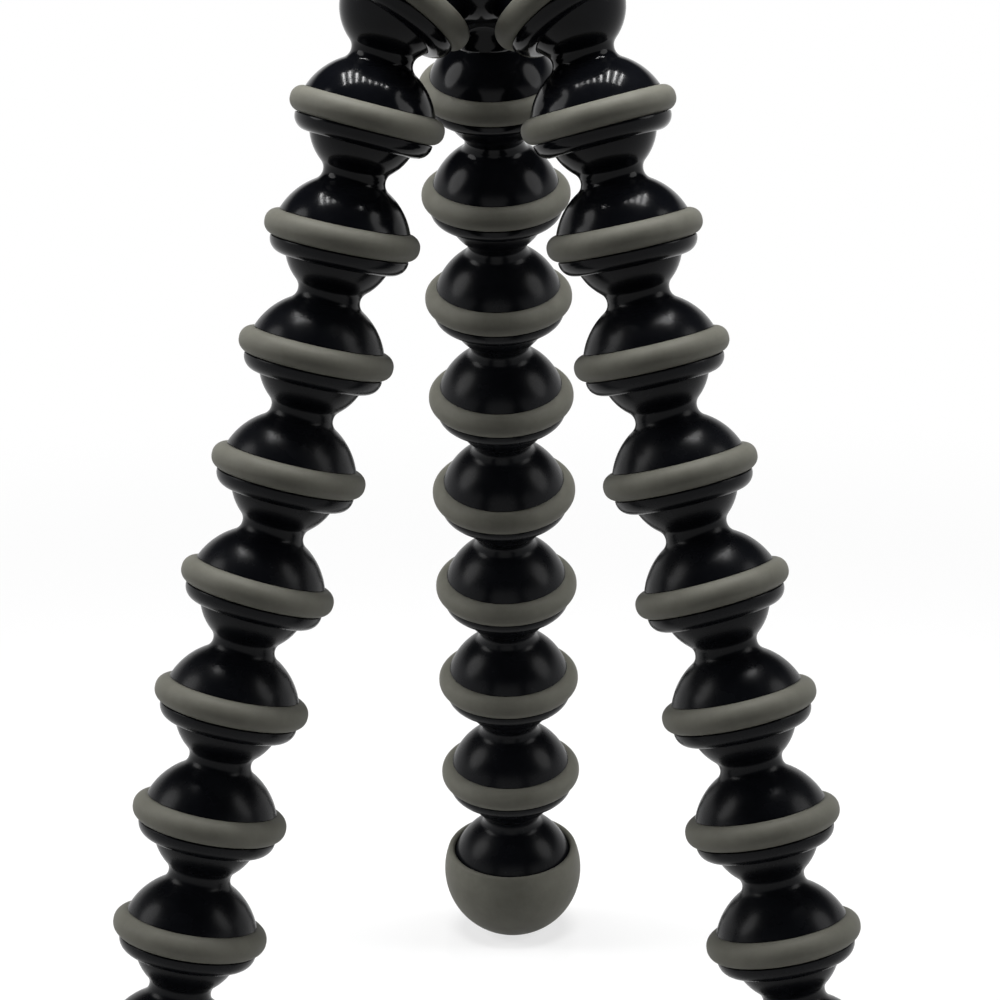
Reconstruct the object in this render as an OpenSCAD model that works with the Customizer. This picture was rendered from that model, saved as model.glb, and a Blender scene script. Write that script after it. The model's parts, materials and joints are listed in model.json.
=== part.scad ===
// Flexible leg tripod: a hub with a camera screw, and three legs of ball-and-socket links.
// Millimetres, +Z up. The origin is on the screw's axis, level with the seat for the camera.

/* [Ball joints] */
// Diameter of the ball at the top of each link
ball_d = 19.6; // [18:0.1:21]
// Play between a ball and its socket, on the radius
ball_play = 0.08; // [0.03:0.01:0.1]
// Wall of the socket round the ball
socket_wall = 2.7; // [2.2:0.1:3.2]
// Distance from a link's ball centre to its socket centre
pitch = 21.5; // [21:0.1:26]
// Diameter of the neck between ball and socket
neck_d = 11.3; // [9:0.1:12.5]
// Radius of the fillets at the two ends of the neck
neck_fillet = 2; // [0.6:0.1:2]

/* [Socket lip] */
// Distance from the socket's centre down to the edge of its lip
lip_drop = 3.4; // [3.2:0.1:4.4]
// Outer diameter of the lip
lip_d = 25; // [24.4:0.1:26]
// Radius of the lip's outer edge
lip_round = 2.8; // [1.5:0.1:2.8]
// Chamfer on the lip's inner edge
lip_chamfer = 0.2; // [0.1:0.05:0.4]

/* [Grip rings] */
// Outer diameter of a grip ring
ring_d = 28; // [27.4:0.1:32]
// Height of a grip ring
ring_h = 4.7; // [3.6:0.1:5]
// Radius of the ring's two outer edges
ring_round = 2.2; // [0.8:0.1:2.3]
// Height of the ring's middle above the socket's centre
ring_rise = 1.9; // [1.4:0.1:2.2]
// Depth of the groove that holds the ring
groove_depth = 1.4; // [1:0.1:1.6]
// Play between a ring and its groove
ring_play = 0.05; // [0.02:0.01:0.1]

/* [Feet] */
// Wall of the rubber cup on a foot
cup_wall = 1.4; // [1:0.1:2.5]
// Play between the cup and the foot inside it
cup_play = 0.03; // [0.01:0.01:0.1]
// Angle of the cup's rim above the middle of the foot
cup_rim = 20; // [10:1:35]
// Depth of the flat that the cup stands on
sole_depth = 0.5; // [0.3:0.1:1]

/* [Legs] */
// Links in a leg, not counting the foot
leg_links = 8; // [3:1:8]
// Lean of the legs from straight down
leg_lean = 15; // [8:1:25]

/* [Hub] */
// Distance from the hub's axis to the centre of each socket in it
hub_reach = 17.75; // [17:0.05:21]
// Tilt of the hub's sockets from straight down
hub_tilt = 40; // [34:1:46]
// Diameter of the round core between the sockets
core_d = 28; // [24:0.5:28.5]
// Height of the core's centre above the socket centres
core_rise = 9; // [9:0.5:12]
// Gap between the boss under the core and the grip rings round it
boss_gap = 0.4; // [0.2:0.1:1.5]
// Depth of the boss's face below the socket centres
boss_drop = 8.9; // [7:0.1:10]
// Radius of the boss's edge
boss_round = 0.6; // [0.2:0.1:1]
// Diameter of the stem above the core
stem_d = 23; // [18:0.5:26]
// Height of the hub's top face above the socket centres
hub_h = 26; // [25:0.5:34]
// Diameter of the plate at the top of the hub
plate_d = 32; // [28:0.5:40]
// Thickness of that plate
plate_t = 4; // [3:0.1:6]
// Radius of the plate's edge, and of the fillet under the plate
plate_round = 1.5; // [0.5:0.1:1.5]

/* [Lock wheel] */
// Outer diameter of the lock wheel
wheel_d = 36; // [30:0.5:44]
// Thickness of the lock wheel
wheel_t = 7.5; // [5:0.1:10]
// Chamfer on the two edges of the wheel
wheel_chamfer = 0.8; // [0.4:0.1:1.2]
// Number of grip flutes round the wheel
wheel_flutes = 30; // [18:1:40]
// Radius of a grip flute
flute_r = 1.1; // [0.6:0.1:1.4]
// Gap under the wheel, so that it turns on the hub
wheel_gap = 0.2; // [0.1:0.05:0.4]

/* [Camera screw] */
// Diameter of the camera thread
screw_d = 6.35; // [6:0.05:9.6]
// Length of the camera thread above the seat
screw_len = 5.5; // [4:0.1:7]
// Chamfer at the tip of the screw
screw_tip = 0.7; // [0.3:0.1:1]
// Diameter of the shank that the lock wheel turns on
shank_d = 10; // [9.8:0.1:12]
// Play between the shank and the lock wheel, on the radius
shank_play = 0.06; // [0.02:0.01:0.1]
// Diameter of the head moulded into the hub
head_d = 15; // [13:0.5:18]
// Thickness of that head
head_t = 3; // [2:0.1:4]
// Depth of the hub over that head
head_cover = 5; // [3:0.1:6]
// Play between the screw and the hub, on the radius
seat_play = 0.02; // [0.01:0.01:0.1]

/* [Hidden] */
$fn = 96;
// Legs by name, with the direction of each seen from above
LEGS = ["left", "right", "rear"];
LEG_AZIMUTH = [210, 330, 90];
// Lean of each link against the lean of its leg, from the hub down to the foot
LEAN_STEPS = [2, -1, 0, 1, 3, 0, -2, -3, -3];

ball_r = ball_d/2;
cavity_r = ball_r + ball_play;
socket_r = cavity_r + socket_wall;
neck_r = neck_d/2;
lip_r = lip_d/2;
// Radius of the mouth that the ball can't pass
mouth_r = sqrt(cavity_r*cavity_r - lip_drop*lip_drop);
groove_r = socket_r - groove_depth;
groove_h = ring_h + 2*ring_play;
groove_low = ring_rise - groove_h/2;
ring_in = groove_r + ring_play;
ring_out = ring_d/2;
// Least flat left beside a rounded edge
land = 0.1;
// Edge radii, limited by the walls that they round
ring_edge = min(ring_round, ring_out - ring_in - land, (ring_h - land)/2);
lip_edge = min(lip_round, lip_drop + groove_low - land, lip_r - mouth_r - lip_chamfer - land);
cup_in = socket_r + cup_play;
cup_r = cup_in + cup_wall;
foot_no = leg_links + 1;
hub_z = -(wheel_t + wheel_gap + hub_h);
hub_top = hub_z + hub_h;
screw_r = screw_d/2;
shank_r = shank_d/2;
head_r = head_d/2;
// Extra length of a cutting shape past the face that it cuts
over = 1;

function lean(k) = leg_lean + LEAN_STEPS[k - 1];
function link_step(k) = pitch*[sin(lean(k)), -cos(lean(k))];
// Centre of the ball of link k, as distance from the hub's axis and height
function ball_at(k) = k == 1 ? [hub_reach, hub_z] : ball_at(k - 1) + link_step(k - 1);
// Tilt of the socket that holds the ball of link k
function socket_tilt(k) = k == 1 ? hub_tilt : lean(k - 1);
// Level that the three feet stand on
floor_z = ball_at(foot_no + 1)[1] - cup_r + sole_depth;

function ring_name(leg, k) = str(LEGS[leg], "_ring_", k);
function link_name(leg, k) = str(LEGS[leg], "_link_", k);
function foot_name(leg) = str(LEGS[leg], "_foot");
function cup_name(leg) = str(LEGS[leg], "_foot_cup");

// Children are drawn at the ball of link k of a leg, with their -Z axis along the given lean
module at_ball(leg, k, tilt) {
    rotate([0, 0, LEG_AZIMUTH[leg]])
        translate([ball_at(k)[0], 0, ball_at(k)[1]])
            rotate([0, -tilt, 0])
                children();
}

module half_disc(r) {
    intersection() {
        circle(r = r);
        translate([0, -r])
            square([r, 2*r]);
    }
}

// Section of the fillet between the neck and a sphere of radius r below it
module neck_fillet_section(r) {
    rise = sqrt(pow(r + neck_fillet, 2) - pow(neck_r + neck_fillet, 2));
    reach = (neck_r + neck_fillet)*r/(r + neck_fillet);
    difference() {
        square([reach, rise]);
        translate([neck_r + neck_fillet, rise])
            circle(r = neck_fillet);
    }
}

// Section of the ball and neck, with the ball's centre at the origin
module ball_section() {
    half_disc(ball_r);
    mirror([0, 1])
        neck_fillet_section(ball_r);
    translate([0, -pitch])
        square([neck_r, pitch]);
    translate([0, -pitch])
        neck_fillet_section(socket_r);
}

// Section of a socket's outside, with the socket's centre at the origin
module socket_section() {
    difference() {
        half_disc(socket_r);
        translate([0, -socket_r])
            square([socket_r, socket_r + groove_low]);
        translate([groove_r, groove_low])
            square([socket_r, groove_h]);
    }
    translate([0, -lip_drop])
        square([lip_r - lip_edge, lip_drop + groove_low]);
    translate([0, lip_edge - lip_drop])
        square([lip_r, lip_drop + groove_low - lip_edge]);
    translate([lip_r - lip_edge, lip_edge - lip_drop])
        intersection() {
            circle(r = lip_edge);
            translate([0, -lip_edge])
                square(lip_edge);
        }
}

// What is cut out of a socket: the hollow for the ball, and its chamfered mouth
module socket_hollow() {
    sphere(r = cavity_r);
    translate([0, 0, -lip_drop - over])
        cylinder(r1 = mouth_r + lip_chamfer + over, r2 = mouth_r, h = lip_chamfer + over);
}

module link(leg, k) {
    color("#141415")
        at_ball(leg, k, lean(k))
            difference() {
                rotate_extrude() {
                    ball_section();
                    translate([0, -pitch])
                        socket_section();
                }
                translate([0, 0, -pitch])
                    socket_hollow();
            }
}

module grip_ring(leg, k) {
    flat = ring_h - 2*ring_edge;
    color("#5b5a54")
        at_ball(leg, k, socket_tilt(k))
            translate([0, 0, ring_rise])
                rotate_extrude() {
                    translate([ring_in, -ring_h/2])
                        square([ring_out - ring_edge - ring_in, ring_h]);
                    translate([ring_in, -flat/2])
                        square([ring_out - ring_in, flat]);
                    for (side = [-1, 1])
                        translate([ring_out - ring_edge, side*flat/2])
                            half_disc(ring_edge);
                }
}

module foot(leg) {
    color("#141415")
        at_ball(leg, foot_no, lean(foot_no))
            rotate_extrude() {
                ball_section();
                translate([0, -pitch])
                    half_disc(socket_r);
            }
}

module foot_cup(leg) {
    rim_r = cup_in + cup_wall/2;
    rim_side = [cos(cup_rim), sin(cup_rim)];
    reach = 2*cup_r;
    color("#5b5a54")
        difference() {
            at_ball(leg, foot_no, lean(foot_no))
                translate([0, 0, -pitch])
                    rotate_extrude() {
                        intersection() {
                            difference() {
                                half_disc(cup_r);
                                circle(r = cup_in);
                            }
                            polygon([[0, 0], reach*rim_side, [reach, -reach], [0, -reach]]);
                        }
                        translate(rim_r*rim_side)
                            circle(r = cup_wall/2);
                    }
            rotate([0, 0, LEG_AZIMUTH[leg]])
                translate([ball_at(foot_no + 1)[0] - cup_r, -cup_r, floor_z - 2*cup_r])
                    cube(2*cup_r);
        }
}

// Section of the hub's middle, with the socket centres' level at y = 0
module core_section() {
    stem_r = stem_d/2;
    plate_r = plate_d/2;
    plate_low = hub_h - plate_t;
    // Distance from the hub's axis to the nearest point of a ring
    ring_near = hub_reach - (ring_rise + ring_h/2 - ring_edge)*sin(hub_tilt)
        - (ring_out - ring_edge)*cos(hub_tilt) - ring_edge;
    boss_r = ring_near - boss_gap;
    translate([0, -boss_drop])
        square([boss_r - boss_round, boss_drop + core_rise]);
    translate([0, boss_round - boss_drop])
        square([boss_r, boss_drop - boss_round + core_rise]);
    translate([boss_r - boss_round, boss_round - boss_drop])
        circle(r = boss_round);
    translate([0, core_rise])
        half_disc(core_d/2);
    translate([0, core_rise])
        square([stem_r, hub_h - core_rise]);
    difference() {
        translate([0, plate_low - plate_round])
            square([stem_r + plate_round, plate_round + over]);
        translate([stem_r + plate_round, plate_low - plate_round])
            circle(r = plate_round);
    }
    translate([0, plate_low])
        square([plate_r - plate_round, plate_t]);
    translate([0, plate_low + plate_round])
        square([plate_r, plate_t - 2*plate_round]);
    for (edge = [plate_low + plate_round, hub_h - plate_round])
        translate([plate_r - plate_round, edge])
            circle(r = plate_round);
}

// The screw's outside, grown by the given play
module screw_body(play) {
    head_z = hub_top - head_cover - head_t;
    translate([0, 0, head_z - play])
        cylinder(r = head_r + play, h = head_t + 2*play);
    translate([0, 0, head_z])
        cylinder(r = shank_r + play, h = -head_z);
}

module hub_body() {
    color("#141415")
        difference() {
            union() {
                translate([0, 0, hub_z])
                    rotate_extrude()
                        core_section();
                for (leg = [0:len(LEGS) - 1])
                    at_ball(leg, 1, hub_tilt)
                        rotate_extrude()
                            socket_section();
            }
            for (leg = [0:len(LEGS) - 1])
                at_ball(leg, 1, hub_tilt)
                    socket_hollow();
            screw_body(seat_play);
        }
}

module camera_screw() {
    color("silver") {
        screw_body(0);
        cylinder(r = screw_r, h = screw_len - screw_tip);
        translate([0, 0, screw_len - screw_tip])
            cylinder(r1 = screw_r, r2 = screw_r - screw_tip, h = screw_tip);
    }
}

module lock_wheel() {
    wheel_r = wheel_d/2;
    wheel_low = hub_top + wheel_gap;
    color("#1c1c1d")
        difference() {
            union() {
                translate([0, 0, wheel_low])
                    cylinder(r1 = wheel_r - wheel_chamfer, r2 = wheel_r, h = wheel_chamfer);
                translate([0, 0, wheel_low + wheel_chamfer])
                    cylinder(r = wheel_r, h = wheel_t - 2*wheel_chamfer);
                translate([0, 0, -wheel_chamfer])
                    cylinder(r1 = wheel_r, r2 = wheel_r - wheel_chamfer, h = wheel_chamfer);
            }
            translate([0, 0, wheel_low - over])
                cylinder(r = shank_r + shank_play, h = wheel_t + 2*over);
            for (flute = [1:wheel_flutes])
                rotate([0, 0, flute*360/wheel_flutes])
                    translate([wheel_r + flute_r/2, 0, wheel_low - over])
                        cylinder(r = flute_r, h = wheel_t + 2*over);
        }
}

hub_body();
camera_screw();
lock_wheel();
for (leg = [0:len(LEGS) - 1]) {
    for (k = [1:foot_no]) {
        grip_ring(leg, k);
    }
    for (k = [1:leg_links]) {
        link(leg, k);
    }
    foot(leg);
    foot_cup(leg);
}
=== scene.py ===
"""Finished look of the flexible leg tripod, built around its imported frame. Metres, +Z up."""
import json
import math

import bmesh
import bpy
import numpy as np
from mathutils import Matrix, Vector


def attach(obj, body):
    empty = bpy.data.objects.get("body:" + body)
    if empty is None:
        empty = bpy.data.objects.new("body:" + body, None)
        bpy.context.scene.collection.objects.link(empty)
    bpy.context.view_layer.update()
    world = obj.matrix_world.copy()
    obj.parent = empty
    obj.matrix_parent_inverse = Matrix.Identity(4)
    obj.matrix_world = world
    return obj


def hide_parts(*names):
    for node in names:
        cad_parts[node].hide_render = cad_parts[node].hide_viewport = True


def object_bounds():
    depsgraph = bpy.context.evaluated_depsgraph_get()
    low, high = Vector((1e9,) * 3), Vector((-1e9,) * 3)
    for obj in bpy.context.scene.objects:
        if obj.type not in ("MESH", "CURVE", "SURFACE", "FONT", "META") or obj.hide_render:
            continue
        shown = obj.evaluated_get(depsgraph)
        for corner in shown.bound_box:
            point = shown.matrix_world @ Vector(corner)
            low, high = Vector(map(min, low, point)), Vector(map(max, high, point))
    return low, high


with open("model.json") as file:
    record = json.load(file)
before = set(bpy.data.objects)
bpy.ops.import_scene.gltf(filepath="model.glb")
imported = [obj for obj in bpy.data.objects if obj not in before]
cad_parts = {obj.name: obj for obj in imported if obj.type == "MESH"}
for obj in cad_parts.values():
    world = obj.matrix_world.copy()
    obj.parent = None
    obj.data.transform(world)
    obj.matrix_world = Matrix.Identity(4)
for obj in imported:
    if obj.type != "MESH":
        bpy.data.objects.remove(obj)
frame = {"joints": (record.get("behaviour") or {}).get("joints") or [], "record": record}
cad_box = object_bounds()

# Sizes of the moulded parts, the same as in the solids

MM = 0.001
BALL_R = 9.8*MM
BALL_GAP = 0.08*MM
SOCKET_WALL = 2.7*MM
CAVITY_R = BALL_R + BALL_GAP
SOCKET_R = CAVITY_R + SOCKET_WALL
PITCH = 21.5*MM
NECK_R = 5.65*MM
NECK_FILLET = 2*MM
LIP_DROP = 3.4*MM
LIP_R = 12.5*MM
LIP_ROUND = 2.7*MM
MOUTH_ROUND = 0.2*MM
RING_R = 14*MM
RING_H = 4.7*MM
RING_ROUND = 2.2*MM
RING_RISE = 1.9*MM
RING_PLAY = 0.05*MM
GROOVE_DEPTH = 1.4*MM
GROOVE_R = SOCKET_R - GROOVE_DEPTH
GROOVE_H = RING_H + 2*RING_PLAY
RING_IN = GROOVE_R + RING_PLAY
CUP_GAP = 0.03*MM
CUP_IN = SOCKET_R + CUP_GAP
CUP_WALL = 1.4*MM
CUP_R = CUP_IN + CUP_WALL
CUP_RIM = math.radians(20)
SOLE_DEPTH = 0.5*MM
WHEEL_R = 18*MM
WHEEL_T = 7.5*MM
WHEEL_CHAMFER = 0.8*MM
WHEEL_FLUTES = 30
SHANK_R = 5*MM
SCREW_R = 3.175*MM
SCREW_LEN = 5.5*MM
SCREW_TIP = 0.7*MM
THREAD_PITCH = 1.27*MM
THREAD_DEPTH = 0.55*MM
HUB_H = 26*MM
CORE_R = 14*MM
CORE_RISE = 9*MM
BOSS_R = 4.79*MM
BOSS_DROP = 8.9*MM
BOSS_ROUND = 0.6*MM
STEM_R = 11.5*MM
PLATE_R = 16*MM
PLATE_T = 4*MM
PLATE_ROUND = 1.5*MM
WHEEL_GAP = 0.2*MM

LEGS = ("left", "right", "rear")
LINKS = 8
FOOT_NO = LINKS + 1

# How the meshes are made: edge radius, degrees left free at a dome's edge, angle of a sharp corner

SEGMENTS = 96
EDGE = 0.2*MM
DOME_STOP = 0.4
SHARP = math.radians(40)
TINY = 1e-7
UP = Vector((0, 0, 1))

joints = {j["name"]: j for j in frame["joints"]}
mounts = {m["name"]: m for m in frame["record"]["mounts"]}


# Places of the balls, read from the joints

def ball_centre(leg, k):
    """Centre of the ball of link k, and below the last one the middle of the foot."""
    if k > FOOT_NO:
        return Vector(mounts[f"{leg}_sole"]["pos_m"]) + (CUP_R - SOLE_DEPTH)*UP
    return Vector(joints[f"swivel_{k}_{leg}"]["pos_m"])


def socket_axis(leg, k):
    """Direction out of the mouth of the socket that holds the ball of link k."""
    return Vector(joints[f"swivel_{k}_{leg}"]["axis"])


def link_axis(leg, k):
    """Direction from the ball of link k to the next one."""
    return (ball_centre(leg, k + 1) - ball_centre(leg, k)).normalized()


# Outlines: lists of (radius, height) pairs, turned about an axis that points up

def arc(centre, radius, start, stop, steps):
    """Points of an arc, with angles in degrees from straight out."""
    turns = np.radians(np.linspace(start, stop, steps + 1))
    return [(centre[0] + radius*math.cos(t), centre[1] + radius*math.sin(t)) for t in turns]


def shifted(points, rise):
    return [(r, z + rise) for r, z in points]


def without_repeats(points):
    """Leaves out each point that lies on the one before it."""
    kept = points[:1]
    for point in points[1:]:
        if math.dist(point, kept[-1]) > TINY:
            kept.append(point)
    return kept


def neck_outline():
    """From the top of the ball down to where the neck meets the socket's dome."""
    reach = NECK_R + NECK_FILLET
    ball_turn = math.degrees(math.acos(reach/(BALL_R + NECK_FILLET)))
    dome_turn = math.degrees(math.acos(reach/(SOCKET_R + NECK_FILLET)))
    ball_low = -math.sqrt((BALL_R + NECK_FILLET)**2 - reach**2)
    dome_top = math.sqrt((SOCKET_R + NECK_FILLET)**2 - reach**2) - PITCH
    points = arc((0, 0), BALL_R, 90, -ball_turn, steps=26)
    points += arc((reach, ball_low), NECK_FILLET, 180 - ball_turn, 180, steps=5)[1:]
    points += arc((reach, dome_top), NECK_FILLET, 180, 180 + dome_turn, steps=7)
    return points, dome_turn


def lip_outline():
    """From the upper edge of the ring's groove, round the lip and up the hollow to its top."""
    top = RING_RISE + GROOVE_H/2
    low = RING_RISE - GROOVE_H/2
    edge_r = math.sqrt(SOCKET_R**2 - top**2)
    mouth_z = -LIP_DROP + MOUTH_ROUND
    mouth_r = math.sqrt((CAVITY_R + MOUTH_ROUND)**2 - mouth_z**2)
    mouth_turn = math.degrees(math.atan2(mouth_z, mouth_r))
    points = [(edge_r - EDGE/2, top), (GROOVE_R, top), (GROOVE_R, low), (LIP_R - EDGE, low)]
    points += arc((LIP_R - EDGE, low - EDGE), EDGE, 90, 0, steps=3)
    points += arc((LIP_R - LIP_ROUND, LIP_ROUND - LIP_DROP), LIP_ROUND, 0, -90, steps=9)
    points += arc((mouth_r, mouth_z), MOUTH_ROUND, -90, -180 + mouth_turn, steps=5)
    points += arc((0, 0), CAVITY_R, mouth_turn, 90, steps=22)[1:]
    return points


def link_outline():
    """Ball, neck, dome and socket of a link, from the ball's top to the top of the socket's hollow."""
    points, dome_turn = neck_outline()
    edge_turn = math.degrees(math.asin((RING_RISE + GROOVE_H/2)/SOCKET_R))
    points += arc((0, -PITCH), SOCKET_R, dome_turn, edge_turn + DOME_STOP, steps=16)[1:]
    return points + shifted(lip_outline(), -PITCH)


def foot_outline():
    """Ball and neck of a foot, and its round end without a hollow."""
    points, dome_turn = neck_outline()
    return points + arc((0, -PITCH), SOCKET_R, dome_turn, -90, steps=30)[1:]


def ring_outline():
    flat = RING_H/2 - RING_ROUND
    mid = RING_R - RING_ROUND
    points = arc((mid, flat), RING_ROUND, 90, 0, steps=10)
    points += arc((mid, -flat), RING_ROUND, 0, -90, steps=10)
    return [(RING_IN, RING_H/2)] + points + [(RING_IN, -RING_H/2)]


def cup_outline():
    """Rubber cup round the end of a foot, with a rounded rim."""
    rim = math.degrees(CUP_RIM)
    mid = CUP_IN + CUP_WALL/2
    rim_at = (mid*math.cos(CUP_RIM), mid*math.sin(CUP_RIM))
    points = arc((0, 0), CUP_IN, -90, rim, steps=22)
    points += arc(rim_at, CUP_WALL/2, rim + 180, rim, steps=8)[1:]
    return points + arc((0, 0), CUP_R, rim, -90, steps=34)[1:]


# Making pieces

def lathe(name, outline, origin, up, closed=False, segments=SEGMENTS, shape=None):
    """Turns an outline about the axis up through origin, as a mesh placed in the part's own frame.

    shape, where given, changes the radius of a point from its radius, height and angle.
    """
    turn = UP.rotation_difference(up).to_matrix()
    bm = bmesh.new()
    rows = []
    for r, z in without_repeats(outline):
        if r < TINY:
            rows.append([bm.verts.new(origin + turn @ Vector((0, 0, z)))])
            continue
        row = []
        for n in range(segments):
            a = 2*math.pi*n/segments
            reach = shape(r, z, a) if shape else r
            spot = Vector((reach*math.cos(a), reach*math.sin(a), z))
            row.append(bm.verts.new(origin + turn @ spot))
        rows.append(row)
    if closed:
        rows.append(rows[0])
    for a, b in zip(rows, rows[1:]):
        for n in range(segments):
            m = (n + 1) % segments
            corners = [a[n % len(a)], a[m % len(a)], b[m % len(b)], b[n % len(b)]]
            corners = list(dict.fromkeys(corners))
            if len(corners) > 2:
                bm.faces.new(corners)
    return piece_from(bm, name)


def piece_from(bm, name):
    """Finishes a mesh: faces outwards, smooth shading, and sharp edges only at real corners."""
    bmesh.ops.recalc_face_normals(bm, faces=bm.faces)
    for face in bm.faces:
        face.smooth = True
    for edge in bm.edges:
        edge.smooth = edge.calc_face_angle(0) < SHARP
    mesh = bpy.data.meshes.new(name)
    bm.to_mesh(mesh)
    bm.free()
    piece = bpy.data.objects.new(name, mesh)
    bpy.context.scene.collection.objects.link(piece)
    return piece


def dress(piece, body, material, slot, *nodes):
    """Gives a piece its finish and the body that it moves with, and hides the solids that it stands for.
    """
    piece.data.materials.append(material)
    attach(piece, body)
    if nodes:
        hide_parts(*nodes)


# Materials. The plastic grows duller by HANDLED from one height down to the other.

HANDLED = 0.14
HANDLED_FROM, HANDLED_TO = -52*MM, -98*MM


def new_material(name):
    """A material, its node tree, its shader and the coordinates that its noises use."""
    material = bpy.data.materials.new(name)
    material.use_nodes = True
    tree = material.node_tree
    shader = tree.nodes["Principled BSDF"]
    place = tree.nodes.new("ShaderNodeTexCoord").outputs["Object"]
    return material, tree, shader, place


def noise(tree, place, scale, detail=3.0, roughness=0.5):
    node = tree.nodes.new("ShaderNodeTexNoise")
    node.inputs["Scale"].default_value = scale
    node.inputs["Detail"].default_value = detail
    node.inputs["Roughness"].default_value = roughness
    tree.links.new(place, node.inputs["Vector"])
    return node.outputs["Fac"]


def ramp(tree, value, low, high, start=0.3, stop=0.7):
    """Maps a value onto a blend between two greys or colours."""
    node = tree.nodes.new("ShaderNodeValToRGB")
    for element, place, colour in zip(node.color_ramp.elements, (start, stop), (low, high)):
        element.position = place
        element.color = (*colour, 1)
    tree.links.new(value, node.inputs["Fac"])
    return node.outputs["Color"]


def grey(level):
    return (level, level, level)


def bump(tree, height, strength, distance, under=None):
    """A bump of a height, on top of the normals of another one where that is given."""
    node = tree.nodes.new("ShaderNodeBump")
    node.inputs["Strength"].default_value = strength
    node.inputs["Distance"].default_value = distance
    tree.links.new(height, node.inputs["Height"])
    if under is not None:
        tree.links.new(under, node.inputs["Normal"])
    return node.outputs["Normal"]


def math_node(tree, operation, *values):
    """A Math node on sockets or numbers."""
    node = tree.nodes.new("ShaderNodeMath")
    node.operation = operation
    for socket, value in zip(node.inputs, values):
        if isinstance(value, (int, float)):
            socket.default_value = value
        else:
            tree.links.new(value, socket)
    return node.outputs[0]


def ease(tree, value, start, stop):
    """Smooth step of a value from 0 at start to 1 at stop."""
    node = tree.nodes.new("ShaderNodeMapRange")
    node.interpolation_type = "SMOOTHSTEP"
    node.inputs["From Min"].default_value = start
    node.inputs["From Max"].default_value = stop
    tree.links.new(value, node.inputs["Value"])
    return node.outputs["Result"]


def black_plastic():
    """Glossy black moulding with faint smears and a slightly wavy skin, duller on the lower links."""
    material, tree, shader, place = new_material("black_plastic")
    smear = noise(tree, place, scale=160, detail=4, roughness=0.6)
    colour = ramp(tree, smear, (0.0025, 0.0028, 0.0039), (0.0043, 0.0047, 0.0061))
    tree.links.new(colour, shader.inputs["Base Color"])
    gloss = ramp(tree, smear, grey(0.1), grey(0.16))
    level = tree.nodes.new("ShaderNodeSeparateXYZ")
    tree.links.new(place, level.inputs[0])
    handled = ease(tree, level.outputs["Z"], HANDLED_FROM, HANDLED_TO)
    rough = math_node(tree, "MULTIPLY_ADD", handled, HANDLED, gloss)
    tree.links.new(rough, shader.inputs["Roughness"])
    skin = bump(tree, noise(tree, place, scale=420, detail=2), strength=0.12, distance=0.1*MM)
    fine = noise(tree, place, scale=4200, detail=2)
    grain = bump(tree, fine, strength=0.05, distance=0.03*MM, under=skin)
    tree.links.new(grain, shader.inputs["Normal"])
    shader.inputs["Specular IOR Level"].default_value = 0.1
    return material


def grey_rubber():
    """Warm grey satin rubber, slightly mottled, with a fine matt grain."""
    material, tree, shader, place = new_material("grey_rubber")
    mottle = noise(tree, place, scale=240, detail=5, roughness=0.65)
    colour = ramp(tree, mottle, (0.108, 0.106, 0.088), (0.136, 0.134, 0.113))
    tree.links.new(colour, shader.inputs["Base Color"])
    tree.links.new(ramp(tree, mottle, grey(0.5), grey(0.64)), shader.inputs["Roughness"])
    dents = bump(tree, noise(tree, place, scale=500, detail=2), strength=0.25, distance=0.12*MM)
    fine = noise(tree, place, scale=6500, detail=3)
    grain = bump(tree, fine, strength=0.25, distance=0.04*MM, under=dents)
    tree.links.new(grain, shader.inputs["Normal"])
    shader.inputs["IOR"].default_value = 1.5
    shader.inputs["Specular IOR Level"].default_value = 0.14
    return material


def wheel_plastic():
    """Black plastic with a fine spark-eroded texture."""
    material, tree, shader, place = new_material("wheel_plastic")
    blotch = noise(tree, place, scale=200, detail=4)
    colour = ramp(tree, blotch, (0.008, 0.008, 0.0085), (0.014, 0.014, 0.0145))
    tree.links.new(colour, shader.inputs["Base Color"])
    tree.links.new(ramp(tree, blotch, grey(0.42), grey(0.55)), shader.inputs["Roughness"])
    grain = bump(tree, noise(tree, place, scale=5200, detail=2), strength=0.5, distance=0.06*MM)
    tree.links.new(grain, shader.inputs["Normal"])
    shader.inputs["Specular IOR Level"].default_value = 0.2
    return material


def plated_steel():
    """Bright plated steel, a little cloudy."""
    material, tree, shader, place = new_material("plated_steel")
    cloud = noise(tree, place, scale=700, detail=4)
    colour = ramp(tree, cloud, (0.52, 0.52, 0.53), grey(0.66))
    tree.links.new(colour, shader.inputs["Base Color"])
    tree.links.new(ramp(tree, cloud, grey(0.16), grey(0.32)), shader.inputs["Roughness"])
    grain = bump(tree, noise(tree, place, scale=3000, detail=2), strength=0.2, distance=0.03*MM)
    tree.links.new(grain, shader.inputs["Normal"])
    shader.inputs["Metallic"].default_value = 1
    return material


PLASTIC = black_plastic()
RUBBER = grey_rubber()
WHEEL = wheel_plastic()
STEEL = plated_steel()


# Legs

def flatten_sole(piece, level):
    """Lifts what lies below the floor to its level."""
    for v in piece.data.vertices:
        v.co.z = max(v.co.z, level)


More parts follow.
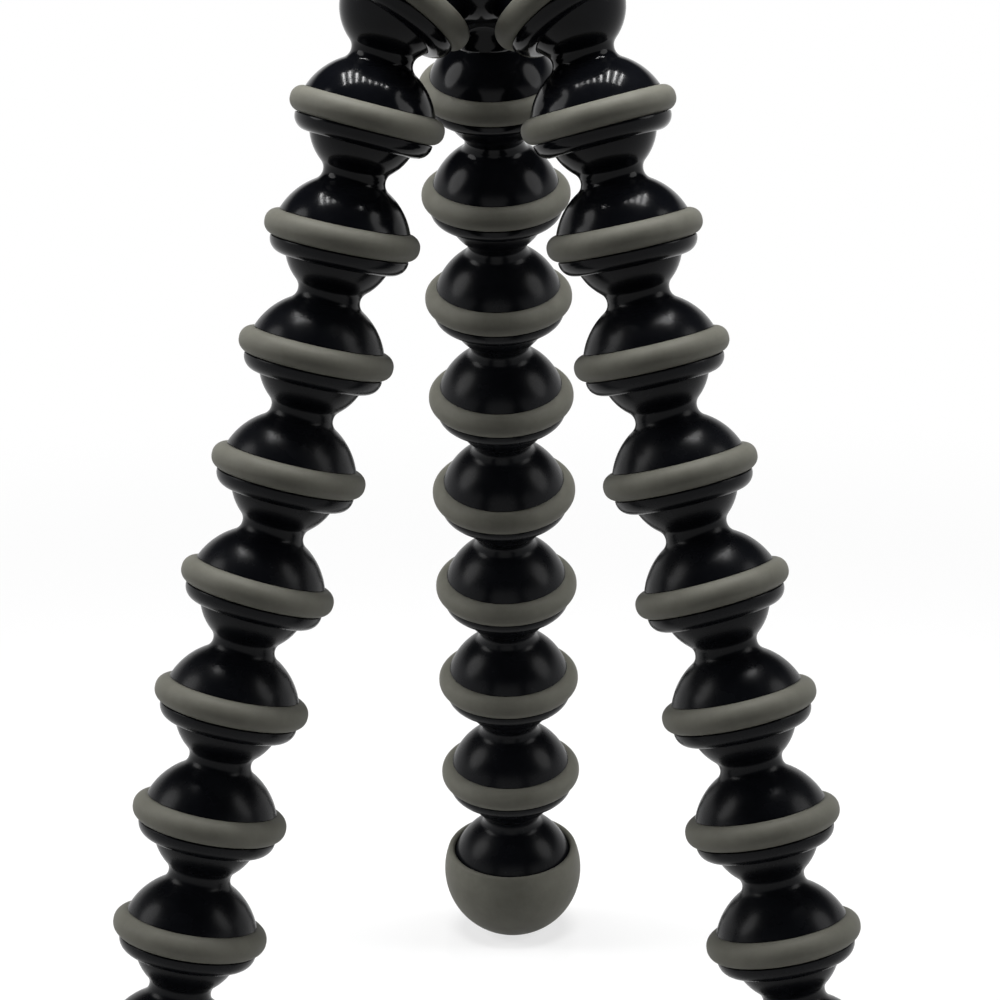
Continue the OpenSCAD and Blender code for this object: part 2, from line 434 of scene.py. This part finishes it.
def make_leg(leg):
    """Grip rings, links, foot and cup of a leg. The first ring sits on the hub's own socket."""
    for k in range(1, FOOT_NO + 1):
        axis = socket_axis(leg, k)
        middle = ball_centre(leg, k) - RING_RISE*axis
        ring = lathe(f"{leg}_grip_ring_{k}", ring_outline(), middle, -axis, closed=True)
        dress(ring, f"{leg}_ring_{k}", RUBBER, "grey_rubber", f"{leg}_ring_{k}")
    for k in range(1, LINKS + 1):
        link = lathe(f"{leg}_moulded_link_{k}", link_outline(), ball_centre(leg, k), -link_axis(leg, k))
        dress(link, f"{leg}_link_{k}", PLASTIC, "black_plastic", f"{leg}_link_{k}")
    up = -link_axis(leg, FOOT_NO)
    foot = lathe(f"{leg}_moulded_foot", foot_outline(), ball_centre(leg, FOOT_NO), up)
    dress(foot, f"{leg}_foot", PLASTIC, "black_plastic", f"{leg}_foot")
    cup = lathe(f"{leg}_rubber_cup", cup_outline(), ball_centre(leg, FOOT_NO + 1), up)
    flatten_sole(cup, mounts[f"{leg}_sole"]["pos_m"][2])
    dress(cup, f"{leg}_foot", RUBBER, "grey_rubber", f"{leg}_foot_cup")


for leg_name in LEGS:
    make_leg(leg_name)


# Hub: a smooth field for the moulded outside, with the exact sockets cut out of it

HUB_REACH, HUB_BELOW, HUB_ABOVE = 33*MM, 15*MM, 1*MM
HUB_TOP = -(WHEEL_T + WHEEL_GAP)
HUB_Z = HUB_TOP - HUB_H
HUB_BLEND = 3.5*MM
PLATE_BLEND = 3*MM
BOSS_BLEND = 1.5*MM
SLEEVE_SPARE = 1*MM
CARVE_R = 14.3*MM
CARVE_DROP = 20*MM
CELL = 0.5*MM
PROBE = CELL/10
LEAST_STEEP = 0.25
RELAX_STEPS = 6


def blended(a, b, width):
    """Union of two distance fields, with a fillet of about the given width."""
    share = np.clip(0.5 + 0.5*(b - a)/width, 0, 1)
    return b + (a - b)*share - width*share*(1 - share)


def rounded_disc(radius, z, size, low, high, edge):
    """Distance to a disc on the Z axis with rounded edges."""
    side = radius - size + edge
    face = np.abs(z - (low + high)/2) - (high - low)/2 + edge
    outside = np.hypot(np.maximum(side, 0), np.maximum(face, 0))
    return outside + np.minimum(np.maximum(side, face), 0) - edge


def hub_field(points):
    """Distance to the hub's outside, negative inside, with each socket still a plain sleeve."""
    x, y, z = points.T
    radius = np.hypot(x, y)
    core = np.hypot(radius, z - HUB_Z - CORE_RISE) - CORE_R
    stem = np.maximum(radius - STEM_R, np.maximum(HUB_Z + CORE_RISE - z, z - HUB_TOP + PLATE_T/2))
    plate = rounded_disc(radius, z, PLATE_R, HUB_TOP - PLATE_T, HUB_TOP, PLATE_ROUND)
    boss = rounded_disc(radius, z, BOSS_R, HUB_Z - BOSS_DROP, HUB_Z, BOSS_ROUND)
    body = blended(np.minimum(core, stem), plate, PLATE_BLEND)
    body = blended(body, boss, BOSS_BLEND)
    sleeves = []
    for leg in LEGS:
        away = points - np.array(ball_centre(leg, 1))
        along = away @ np.array(socket_axis(leg, 1))
        across = np.sqrt(np.maximum((away**2).sum(1) - along**2, 0))
        body = blended(body, np.sqrt((away**2).sum(1)) - SOCKET_R, HUB_BLEND)
        ends = np.maximum(along - LIP_DROP - SLEEVE_SPARE, -along)
        sleeves.append(np.maximum(across - LIP_R - SLEEVE_SPARE, ends))
    return np.minimum(body, np.min(sleeves, axis=0))


def settled(points, field):
    """Moves points along the field's slope onto its surface."""
    slope = np.empty_like(points)
    for axis in range(3):
        nudge = np.zeros(3)
        nudge[axis] = PROBE
        slope[:, axis] = (field(points + nudge) - field(points - nudge))/(2*PROBE)
    steep = np.maximum((slope**2).sum(1), LEAST_STEEP)
    return points - (field(points)/steep)[:, None]*slope


def surface_net(field, low, high):
    """Points and four-sided faces of a field's surface, evened out by sliding along it."""
    axes = [np.arange(a, b + CELL, CELL) for a, b in zip(low, high)]
    grid = np.stack(np.meshgrid(*axes, indexing="ij"), -1)
    inside = (field(grid.reshape(-1, 3)) < 0).reshape(grid.shape[:3])
    corners = sum(inside[i:i - 1 or None, j:j - 1 or None, k:k - 1 or None].astype(int)
                  for i in (0, 1) for j in (0, 1) for k in (0, 1))
    mixed = (corners > 0) & (corners < 8)
    index = np.full(mixed.shape, -1)
    index[mixed] = np.arange(mixed.sum())
    points = grid[:-1, :-1, :-1][mixed] + CELL/2
    faces = []
    for axis in range(3):
        crossings = np.argwhere(np.diff(inside, axis=axis))
        u = np.eye(3, dtype=int)[(axis + 1) % 3]
        v = np.eye(3, dtype=int)[(axis + 2) % 3]
        around = [crossings, crossings - u, crossings - u - v, crossings - v]
        faces.append(np.stack([index[tuple(cells.T)] for cells in around], 1))
    faces = np.concatenate(faces)
    for _ in range(RELAX_STEPS):
        total = np.zeros_like(points)
        count = np.zeros(len(points))
        for corner in range(4):
            beside = points[faces[:, corner - 1]] + points[faces[:, corner - 3]]
            np.add.at(total, faces[:, corner], beside)
            np.add.at(count, faces[:, corner], 2)
        points = settled((points + total/count[:, None])/2, field)
    return points, faces


def socket_cutter(leg):
    """All that is cut away round the hub's socket for a leg: ring groove, outside of the lip, hollow."""
    top = RING_RISE + GROOVE_H/2
    outline = [(0, -CARVE_DROP), (CARVE_R, -CARVE_DROP), (CARVE_R, top)] + lip_outline()[1:]
    return lathe(f"cutter_{leg}", outline, ball_centre(leg, 1), -socket_axis(leg, 1))


def cut_with(piece, cutters):
    """Cuts solids out of a piece and deletes them.

    Faces with more than four corners are fanned out, so that no two of them share a line across.
    """
    for cutter in cutters:
        cut = piece.modifiers.new("cut", "BOOLEAN")
        cut.operation = "DIFFERENCE"
        cut.solver = "MANIFOLD"
        cut.object = cutter
    finished = piece.evaluated_get(bpy.context.evaluated_depsgraph_get())
    bm = bmesh.new()
    bm.from_mesh(finished.to_mesh())
    bmesh.ops.poke(bm, faces=[face for face in bm.faces if len(face.verts) > 4])
    name = piece.name
    for gone in [piece, *cutters]:
        bpy.data.objects.remove(gone)
    return piece_from(bm, name)


def make_hub():
    low = (-HUB_REACH, -HUB_REACH, HUB_Z - HUB_BELOW)
    high = (HUB_REACH, HUB_REACH, HUB_TOP + HUB_ABOVE)
    points, faces = surface_net(hub_field, low, high)
    bm = bmesh.new()
    verts = [bm.verts.new(p) for p in points]
    for face in faces:
        bm.faces.new([verts[n] for n in face])
    blank = piece_from(bm, "moulded_hub")
    hub = cut_with(blank, [socket_cutter(leg) for leg in LEGS])
    dress(hub, "hub", PLASTIC, "black_plastic", "hub_body")


make_hub()


# Lock wheel with its seat pad, and the camera screw

WHEEL_LOW = -WHEEL_T
WHEEL_PLAY = 0.06*MM
WHEEL_BORE = SHANK_R + WHEEL_PLAY
WHEEL_SEGMENTS = 12*WHEEL_FLUTES
FLUTE_DEPTH = 0.55*MM
FLUTE_PINCH = 1.5
PAD_IN, PAD_OUT = 6.4*MM, 15*MM
PAD_DEEP = 1.2*MM
PAD_RIBS = 8
RIB_STEPS = 8
RIB_DEPTH = 0.22*MM
SEAT_GAP = 0.03*MM
HEAD_R = 7.5*MM
HEAD_T = 3*MM
HEAD_COVER = 5*MM
THREAD_ROWS = 84
THREAD_FLANK = 2.3
THREAD_FADE = 0.4*MM


def fluted(r, z, angle):
    """Radius of the wheel's side, with a scallop for each finger flute."""
    if r < WHEEL_R - WHEEL_CHAMFER - TINY:
        return r
    return r - FLUTE_DEPTH*(0.5 + 0.5*math.cos(WHEEL_FLUTES*angle))**FLUTE_PINCH


def wheel_outline():
    """Section of the wheel, with a recess for the seat pad. Its flat faces end inside the flutes."""
    rim = WHEEL_R - WHEEL_CHAMFER
    low = WHEEL_LOW + WHEEL_CHAMFER
    face = rim - FLUTE_DEPTH - EDGE
    points = [(WHEEL_BORE, WHEEL_LOW), (PAD_OUT, WHEEL_LOW), (face, WHEEL_LOW)]
    points += arc((rim, low), WHEEL_CHAMFER, -90, 0, steps=6)
    points += arc((rim, -WHEEL_CHAMFER), WHEEL_CHAMFER, 0, 90, steps=6)
    points += [(face, 0), (PAD_OUT + 2*EDGE, 0)]
    points += arc((PAD_OUT + EDGE, -EDGE), EDGE, 90, 180, steps=3)
    points += [(PAD_OUT, -PAD_DEEP), (PAD_IN, -PAD_DEEP)]
    points += arc((PAD_IN - EDGE, -EDGE), EDGE, 0, 90, steps=3)
    return points + arc((WHEEL_BORE + EDGE, -EDGE), EDGE, 90, 180, steps=3)


def pad_outline():
    """Rubber ring let into the wheel, with low round ribs on top and its edges just under the seat."""
    inner, outer = PAD_IN + SEAT_GAP, PAD_OUT - SEAT_GAP
    points = [(inner, -PAD_DEEP + SEAT_GAP), (inner, -RIB_DEPTH)]
    rows = RIB_STEPS*PAD_RIBS
    for n in range(1, rows):
        lift = 0.5 - 0.5*math.cos(2*math.pi*n*PAD_RIBS/rows)
        points.append((inner + (outer - inner)*n/rows, -RIB_DEPTH*(1 - lift)))
    return points + [(outer, -RIB_DEPTH), (outer, -PAD_DEEP + SEAT_GAP)]


def threaded(r, z, angle):
    """Radius of the screw: a V-shaped thread that fades in above the seat, plain below it."""
    if z <= 0 or r < SCREW_R - SCREW_TIP:
        return r
    turn = (z/THREAD_PITCH - angle/(2*math.pi)) % 1
    ridge = min(1, max(0, THREAD_FLANK*(0.5 - abs(turn - 0.5))))
    fade = min(1, z/THREAD_FADE)
    return min(r, SCREW_R - THREAD_DEPTH*(1 - ridge)*fade)


def screw_outline():
    """Section of the screw, from its tip down to the head inside the hub."""
    head_top = HUB_TOP - HEAD_COVER
    points = [(0, SCREW_LEN)]
    for n in range(THREAD_ROWS + 1):
        z = SCREW_LEN*(1 - n/THREAD_ROWS)
        points.append((min(SCREW_R, SCREW_R - SCREW_TIP + SCREW_LEN - z), z))
    points += [(SHANK_R - EDGE, 0), (SHANK_R, -EDGE), (SHANK_R, head_top)]
    return points + [(HEAD_R, head_top), (HEAD_R, head_top - HEAD_T), (0, head_top - HEAD_T)]


def make_head():
    origin = Vector()
    wheel = lathe("fluted_wheel", wheel_outline(), origin, UP,
                  closed=True, segments=WHEEL_SEGMENTS, shape=fluted)
    dress(wheel, "lock_wheel", WHEEL, "wheel_plastic", "lock_wheel")
    pad = lathe("seat_pad", pad_outline(), origin, UP, closed=True)
    dress(pad, "lock_wheel", RUBBER, "grey_rubber")
    screw = lathe("threaded_screw", screw_outline(), origin, UP, shape=threaded)
    dress(screw, "hub", STEEL, "steel", "camera_screw")


make_head()


# Camera, placed where the photograph was taken from

CAMERA_AT = (37.54*MM, -661.3*MM, 43.79*MM)
CAMERA_YAW = 0.0541
CAMERA_PITCH = 0.2499
CAMERA_ROLL = 0.01
FOCAL_PER_FRAME = 3.7256
SENSOR = 36.0


def make_camera():
    data = bpy.data.cameras.new("camera")
    data.sensor_width = SENSOR
    data.lens = FOCAL_PER_FRAME*SENSOR
    camera = bpy.data.objects.new("camera", data)
    bpy.context.scene.collection.objects.link(camera)
    look = Matrix.Rotation(CAMERA_YAW, 4, "Z") @ Matrix.Rotation(-CAMERA_PITCH, 4, "X")
    look = look @ Matrix.Rotation(CAMERA_ROLL, 4, "Y") @ Matrix.Rotation(math.pi/2, 4, "X")
    camera.matrix_world = Matrix.Translation(CAMERA_AT) @ look
    bpy.context.scene.camera = camera


make_camera()


# Floor and backdrop: white where they are seen, with the shadow kept near the feet. Near the feet the
# floor throws light back by FLOOR_BOUNCE, and hardly any farther off, by FLOOR_DIM.

FLOOR_SIZE = 12.0
FLOOR_LIT = (0.9, 0.9, 0.9, 1)
FLOOR_BOUNCE = (0.45, 0.45, 0.45, 1)
FLOOR_DIM = (0.03, 0.03, 0.03, 1)
NEAR_PALE = 0.7
FADE_FROM, FADE_TO = 0.2, 0.55
AMBIENT = 0.05
AMBIENT_COLOUR = (0.96, 0.98, 1.0, 1)
OVERHEAD = AMBIENT/4
HORIZON_LOW, HORIZON_HIGH = 0.2, 0.4

# Lights: a row of short lamps close above, and to each side a window of nested layers, brightest in
# its middle

BARS = 8
BAR_STEP = 0.0406
BAR_W, BAR_L = 0.0072, 0.135
BAR_HEIGHT = 0.34
BAR_BACK = 0.0105
BAR_POWER = 0.325
WINDOW_W, WINDOW_H = 0.72, 0.85
WINDOW_LAYERS = 4
LEFT_WINDOW, LEFT_POWER = (-1.2, -0.08, 0.72), 7
RIGHT_WINDOW, RIGHT_POWER = (1.2, -0.06, 0.7), 5.4


def add_area(name, shape, at, aim, width, height, power):
    """An area light at a place, aimed at a point."""
    light = bpy.data.lights.new(name, "AREA")
    light.shape = shape
    light.size = width
    light.size_y = height
    light.energy = power
    lamp = bpy.data.objects.new(name, light)
    lamp.location = at
    lamp.rotation_euler = (Vector(aim) - Vector(at)).to_track_quat("-Z", "Y").to_euler()
    bpy.context.scene.collection.objects.link(lamp)


def mix_node(tree, share, first, second):
    node = tree.nodes.new("ShaderNodeMixShader")
    for socket, value in zip(node.inputs, (share, first, second)):
        tree.links.new(value, socket)
    return node.outputs[0]


def seen_directly(tree):
    """1 for rays from the camera and for those off mirror-like or through clear surfaces."""
    path = tree.nodes.new("ShaderNodeLightPath").outputs
    mirrored = math_node(tree, "MAXIMUM", path["Is Glossy Ray"], path["Is Transmission Ray"])
    return math_node(tree, "MAXIMUM", path["Is Camera Ray"], mirrored)


def diffuse(tree, colour):
    node = tree.nodes.new("ShaderNodeBsdfDiffuse")
    node.inputs["Color"].default_value = colour
    return node.outputs[0]


def make_floor():
    """Plane under the feet: white with the shadow where it is seen, a reflector for other light."""
    bpy.ops.mesh.primitive_plane_add(size=FLOOR_SIZE, location=(0, 0, cad_box[0][2]))
    floor = bpy.context.object
    floor.name = "floor"
    material = bpy.data.materials.new("floor_white")
    material.use_nodes = True
    tree = material.node_tree
    away = tree.nodes.new("ShaderNodeVectorMath")
    away.operation = "LENGTH"
    tree.links.new(tree.nodes.new("ShaderNodeTexCoord").outputs["Object"], away.inputs[0])
    fade = ease(tree, away.outputs["Value"], FADE_FROM, FADE_TO)
    share = math_node(tree, "MULTIPLY_ADD", fade, 1 - NEAR_PALE, NEAR_PALE)
    white = tree.nodes.new("ShaderNodeEmission").outputs[0]
    pale = mix_node(tree, share, diffuse(tree, FLOOR_LIT), white)
    thrown = mix_node(tree, fade, diffuse(tree, FLOOR_BOUNCE), diffuse(tree, FLOOR_DIM))
    surface = mix_node(tree, seen_directly(tree), thrown, pale)
    tree.links.new(surface, tree.nodes["Material Output"].inputs["Surface"])
    floor.data.materials.append(material)


def make_world():
    """Even soft light, with a white backdrop up to a little above the horizon where it is seen."""
    world = bpy.data.worlds.new("studio")
    bpy.context.scene.world = world
    world.use_nodes = True
    tree = world.node_tree
    soft = tree.nodes["Background"]
    soft.inputs["Color"].default_value = AMBIENT_COLOUR
    soft.inputs["Strength"].default_value = AMBIENT
    white = tree.nodes.new("ShaderNodeBackground")
    white.inputs["Color"].default_value = (1, 1, 1, 1)
    dark = tree.nodes.new("ShaderNodeBackground")
    dark.inputs["Strength"].default_value = OVERHEAD
    height = tree.nodes.new("ShaderNodeSeparateXYZ")
    tree.links.new(tree.nodes.new("ShaderNodeTexCoord").outputs["Generated"], height.inputs[0])
    up = ease(tree, height.outputs["Z"], HORIZON_LOW, HORIZON_HIGH)
    backdrop = mix_node(tree, up, white.outputs[0], dark.outputs[0])
    surface = mix_node(tree, seen_directly(tree), soft.outputs[0], backdrop)
    tree.links.new(surface, tree.nodes["World Output"].inputs["Surface"])


def make_lights():
    middle = Vector((0, 0, (cad_box[0][2] + cad_box[1][2])/2))
    for n in range(BARS):
        across = (n - (BARS - 1)/2)*BAR_STEP
        at = middle + Vector((across, BAR_BACK, BAR_HEIGHT))
        add_area(f"ceiling_bar_{n}", "RECTANGLE", at, at - UP, BAR_W, BAR_L, BAR_POWER)
    for name, at, power in (("left", LEFT_WINDOW, LEFT_POWER), ("right", RIGHT_WINDOW, RIGHT_POWER)):
        at = middle + Vector(at)
        for layer in range(1, WINDOW_LAYERS + 1):
            part = layer/WINDOW_LAYERS
            size = part*WINDOW_W, part*WINDOW_H
            add_area(f"{name}_window_{layer}", "ELLIPSE", at, middle, *size, part**2*power)


make_floor()
make_world()
make_lights()

bpy.context.scene.view_settings.view_transform = "Standard"
